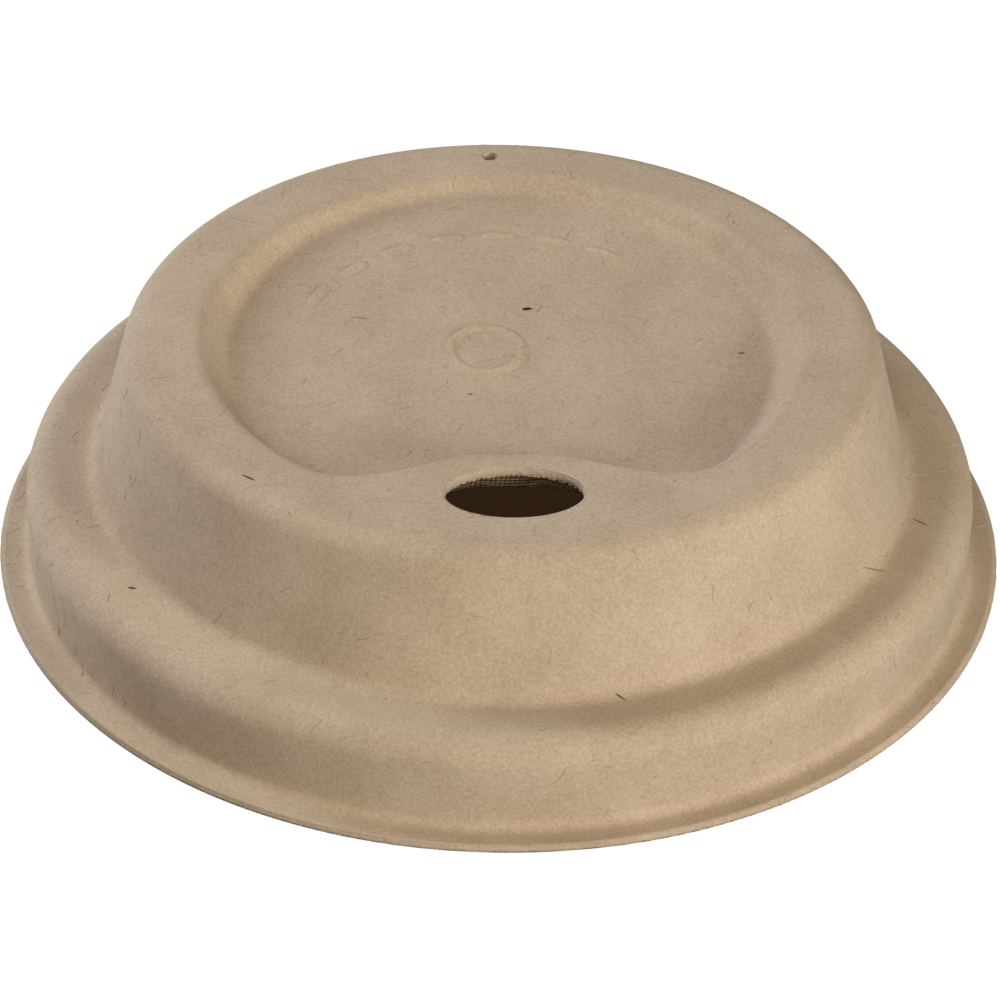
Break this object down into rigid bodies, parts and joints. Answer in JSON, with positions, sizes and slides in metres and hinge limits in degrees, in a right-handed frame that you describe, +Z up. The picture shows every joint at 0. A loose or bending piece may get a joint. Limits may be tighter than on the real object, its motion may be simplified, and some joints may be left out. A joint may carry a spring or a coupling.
{
  "type": "takeaway coffee cup lid",
  "caption": "Moulded-fibre sip lid for a takeaway hot cup: raised dome with a recessed top, oval sip hole, vent, shoulder and snap skirt with a flat lip.",
  "frame": {"origin": "centre of the circle that the lip's underside rests on", "axes": "+Z up along the lid's axis, -Y towards the sip hole, +X to the right of someone who looks from the sip side"},
  "size_m": [0.096, 0.096, 0.0238],
  "materials": {
    "moulded_fibre": "dry matt unbleached plant fibre with short fibres and small specks"
  },
  "bodies": {
    "root": {"lid": "moulded_fibre"}
  },
  "joints": []
}
